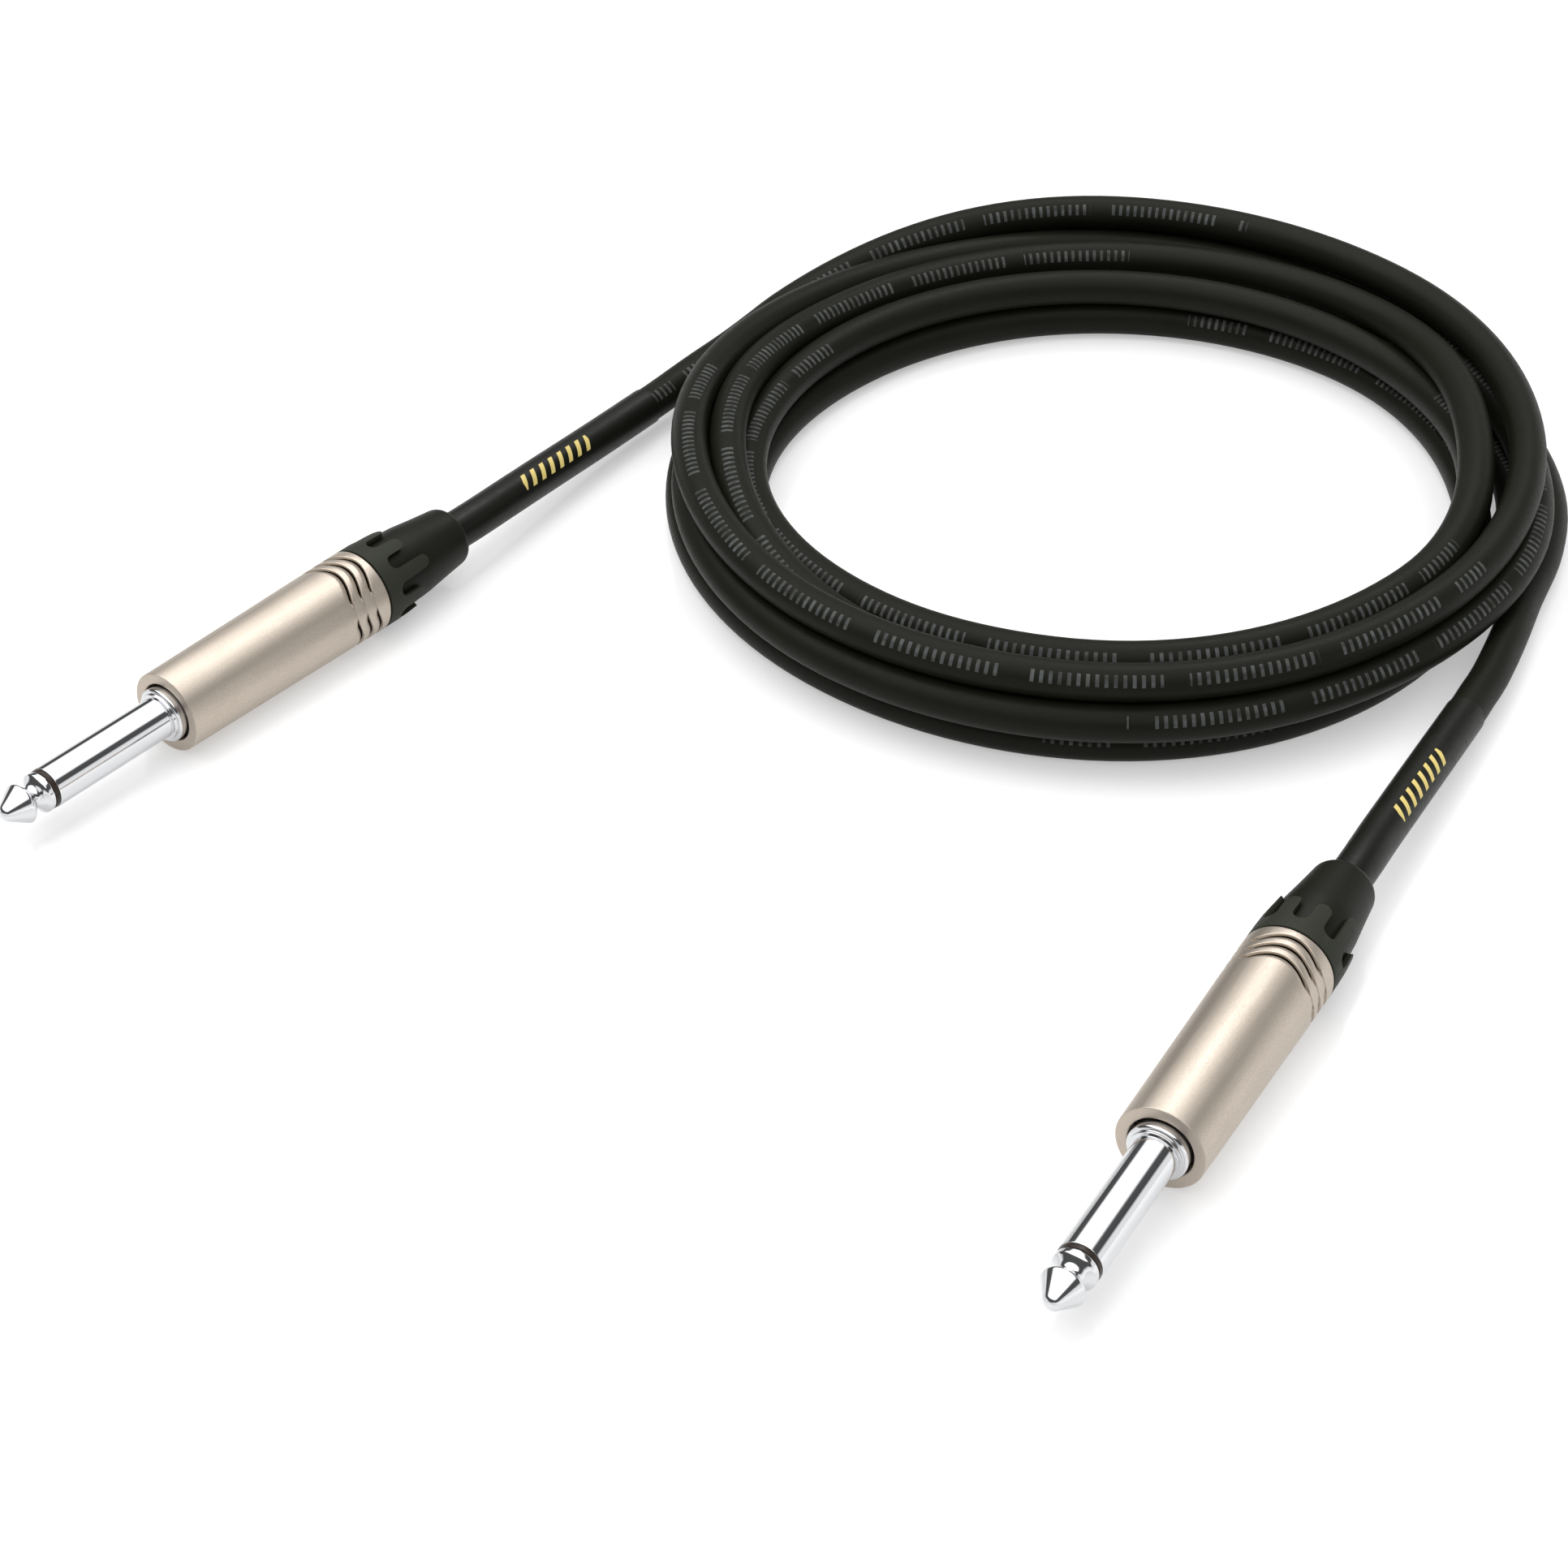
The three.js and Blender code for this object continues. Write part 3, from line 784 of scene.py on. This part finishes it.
def barrel_shell():
    """The barrel: tapered, with a lip at the front and three lobed grip grooves at the rear. Each
    groove slopes down to a narrow slit in front of its wall."""
    outside = [(0, BARREL_FRONT_RADIUS, 0, 0), (20, barrel_radius(20), 0, 0)]
    for wall in GRIP_WALLS:
        foot = wall - GRIP_SLIT
        for share in (1, 0.8, 0.6, 0.4, 0.2, 0):
            x = foot - share * (GRIP_RUN - GRIP_SLIT)
            outside.append((x, barrel_radius(x), (1 - share) ** 1.6, 1))
        outside.append((foot + 0.03, barrel_radius(foot), GRIP_SLIT_DEPTH, 1))
        outside.append((wall - 0.03, barrel_radius(wall), GRIP_SLIT_DEPTH, 1))
        outside.append((wall, barrel_radius(wall), 0, 1))
    inside = [
        (BARREL_LENGTH, BARREL_REAR_RADIUS),
        (BARREL_LENGTH, THREAD_BORE),
        (THREAD_START, THREAD_BORE),
        (THREAD_START, BARREL_BORE),
        (BARREL_LIP, BARREL_BORE),
        (BARREL_LIP, BARREL_LIP_BORE),
        (0.15, BARREL_LIP_BORE),
        (0, BARREL_LIP_BORE + 0.15),
    ]
    profile = outside + [(*point, 0, 0) for point in inside]
    return turned("barrel_shell", rounded(profile, 0.18), sides=256, relief=grip_relief, bow=grip_bow)


def thread(x, angle):
    """How far a thread's groove lies under its crest."""
    phase = x / THREAD_PITCH - angle / (2 * math.pi)
    return THREAD_DEPTH * (0.5 + 0.5 * np.cos(2 * math.pi * phase))


def arc(x, y, radius, first, last, steps=8):
    """Points on an arc between two angles in degrees."""
    angles = np.radians(np.linspace(first, last, steps + 1))
    return [(x + radius * math.cos(angle), y + radius * math.sin(angle)) for angle in angles]


def finger_gap(tip, next_tip):
    """What is cut away between fingers that end at tip and at next_tip: a slot with a round root, and
    half of the rounding of each finger's end."""
    radius = FINGERTIP_RADIUS
    side = NUT_RADIUS * math.tan(math.pi / FINGER_COUNT)
    root = arc(SLOT_ROOT + SLOT_HALF, 0, SLOT_HALF, 90, 270, 16)
    ahead = arc(next_tip - radius, -SLOT_HALF - radius, radius, 90, 0)
    behind = arc(tip - radius, SLOT_HALF + radius, radius, 0, -90)
    mouth = [(next_tip, -side), (NUT_TIP + 1, -side), (NUT_TIP + 1, side), (tip, side)]
    return root + ahead + mouth + behind


def boot_nut():
    """The boot nut: a threaded spigot, and a ring of round-ended fingers behind its flange."""
    ring = turned("boot_nut", rounded([
        (40.4, 4.0),
        (40.4, NUT_RADIUS),
        (43, NUT_RADIUS),
        (45.2, 6.73),
        (47, 6.6),
        (48.5, 6.46),
        (NUT_TIP, 6.33),
        (NUT_TIP, FINGER_INSIDE),
        (41.4, FINGER_INSIDE),
        (41.4, 4.0),
    ], 0.12), sides=192)
    tips = [NUT_TIP if i % LONG_EVERY == 0 else SHORT_TIP for i in range(FINGER_COUNT)]
    gaps = [finger_gap(tips[i - 1], tips[i]) for i in range(FINGER_COUNT)]
    cut_around(ring, gaps, SLOT_TURN, low=5.0, high=8.0)
    soften_edges(ring, FINGER_EDGE)
    lead_in = [(31.6, SPIGOT_BORE, 0), (31.6, 4.8, 0), (32.0, SPIGOT_RADIUS, 0)]
    threaded = [(x, SPIGOT_RADIUS, 1) for x in np.arange(32.2, 39.31, THREAD_STEP)]
    neck = [(39.5, 4.85, 0), (41.0, 4.85, 0), (41.0, SPIGOT_BORE, 0)]
    spigot = turned("spigot", lead_in + threaded + neck, relief=thread, crease=60)
    return joined(ring, spigot)


def boot_gland():
    """The gland: a soft tapered sleeve with a rounded mouth around the cable."""
    return turned("boot_gland", rounded([
        (41.7, 3.5),
        (41.7, 5.65),
        (49.4, 5.85),
        (51, 5.74),
        (54.3, 5.33),
        (57, 5.03),
        (59.2, 4.8),
        (59.85, 4.45),
        (GLAND_MOUTH, 3.85),
        (59.6, 3.5),
    ], 0.5, 6))


# Each detailed piece of a plug: how it is made, the body that it rides on and its material slot.
DETAILED = {
    "tip_contact": (tip_contact, "root", "contact_plating"),
    "front_insulator": (front_insulator, "root", "contact_insulation"),
    "sleeve_contact": (sleeve_contact, "root", "contact_plating"),
    "barrel_shell": (barrel_shell, "root", "barrel_nickel"),
    "boot_nut": (boot_nut, "boot_{}", "boot_nylon"),
    "boot_gland": (boot_gland, "boot_{}", "gland_rubber"),
}
# CAD nodes inside a plug that are shown as they are, and their material slots.
CARRIED_OVER = {
    "ground_lug": "solder_lug",
    "rear_insulator": "contact_insulation",
    "tip_lug": "solder_lug",
    "chuck": "chuck_nylon",
    "cable_end": "cable_jacket",
    "core_lead": "core_insulation",
    "core_conductor": "bare_copper",
    "shield_lead": "bare_copper",
}


def add_plug(letter):
    """Every piece of one plug, in its place and on its body."""
    for node, (make, body, slot) in DETAILED.items():
        piece = make()
        piece.name = f"{node}_{letter}_detail"
        piece.matrix_world = PLUG_FRAMES[letter]
        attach(dress(piece, slot), body.format(letter))
        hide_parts(f"{node}_{letter}")
    for node, slot in CARRIED_OVER.items():
        dress(frame["nodes"][f"{node}_{letter}"], slot)


# ---- Floor and light --------------------------------------------------------------------------------

def add_floor():
    """A large pale floor just under the object."""
    bm = bmesh.new()
    bmesh.ops.create_grid(bm, x_segments=1, y_segments=1, size=4)
    floor = finish_mesh("floor", bm)
    floor.location.z = -0.0001
    finish = Finish("floor")
    finish.shader.inputs["Base Color"].default_value = (0.55, 0.55, 0.55, 1)
    finish.shader.inputs["Roughness"].default_value = 0.1
    finish.shader.inputs["Specular IOR Level"].default_value = 0.35
    finish.shader.inputs["Emission Color"].default_value = (1, 1, 1, 1)
    finish.shader.inputs["Emission Strength"].default_value = 0.42
    floor.data.materials.append(finish.material)


def add_softbox(name, location, target, size, power):
    """A white rectangular light that faces its target."""
    light = bpy.data.lights.new(name, "AREA")
    light.shape = "RECTANGLE"
    light.size, light.size_y = size
    light.energy = power
    lamp = bpy.data.objects.new(name, light)
    lamp.location = location
    lamp.rotation_euler = (Vector(target) - Vector(location)).to_track_quat("-Z", "Y").to_euler()
    bpy.context.scene.collection.objects.link(lamp)


SKY_STRENGTH = 1.9
BAND_TILT = 0.3  # how much higher the dark band stands towards +X
# The dome's brightness from the horizon up: each pair is a height, from 0 to 1, and a brightness.
SKY_STOPS = ((0.0, 0.6), (0.05, 0.5), (0.14, 0.05), (0.48, 0.06), (0.58, 0.9), (1.0, 1.0))


def add_sky():
    """A studio dome: a bright ceiling over a dark band, which stands higher on the right."""
    world = bpy.data.worlds.new("studio")
    bpy.context.scene.world = world
    world.use_nodes = True
    tree = world.node_tree
    places = tree.nodes.new("ShaderNodeTexCoord")
    split = tree.nodes.new("ShaderNodeSeparateXYZ")
    rightward = tree.nodes.new("ShaderNodeMath")
    rightward.operation = "MAXIMUM"
    rightward.inputs[1].default_value = 0.0
    height = tree.nodes.new("ShaderNodeMath")
    height.operation = "MULTIPLY_ADD"
    height.inputs[1].default_value = -BAND_TILT
    ramp = tree.nodes.new("ShaderNodeValToRGB")
    tree.links.new(places.outputs["Generated"], split.inputs["Vector"])
    tree.links.new(split.outputs["X"], rightward.inputs[0])
    tree.links.new(rightward.outputs["Value"], height.inputs[0])
    tree.links.new(split.outputs["Z"], height.inputs[2])
    tree.links.new(height.outputs["Value"], ramp.inputs["Fac"])
    tree.links.new(ramp.outputs["Color"], tree.nodes["Background"].inputs["Color"])
    tree.nodes["Background"].inputs["Strength"].default_value = SKY_STRENGTH
    elements = ramp.color_ramp.elements
    while len(elements) < len(SKY_STOPS):
        elements.new(0.5)
    for element, (place, value) in zip(elements, SKY_STOPS):
        element.position = place
        element.color = (value, value, value, 1)


MATERIALS = make_materials()
PLUG_FRAMES = {letter: plug_frame(letter) for letter in "ab"}

add_camera()
add_cable()
for plug_letter in "ab":
    add_plug(plug_letter)
add_floor()
add_sky()
add_softbox("key", (-0.4, 0.3, 1.0), (0.02, 0.04, 0), (0.9, 0.9), 4.0)
add_softbox("sheen", (0.31, 0.67, 0.84), (0, 0, 0), (0.3, 0.3), 1.7)
bpy.context.scene.view_settings.view_transform = "Standard"
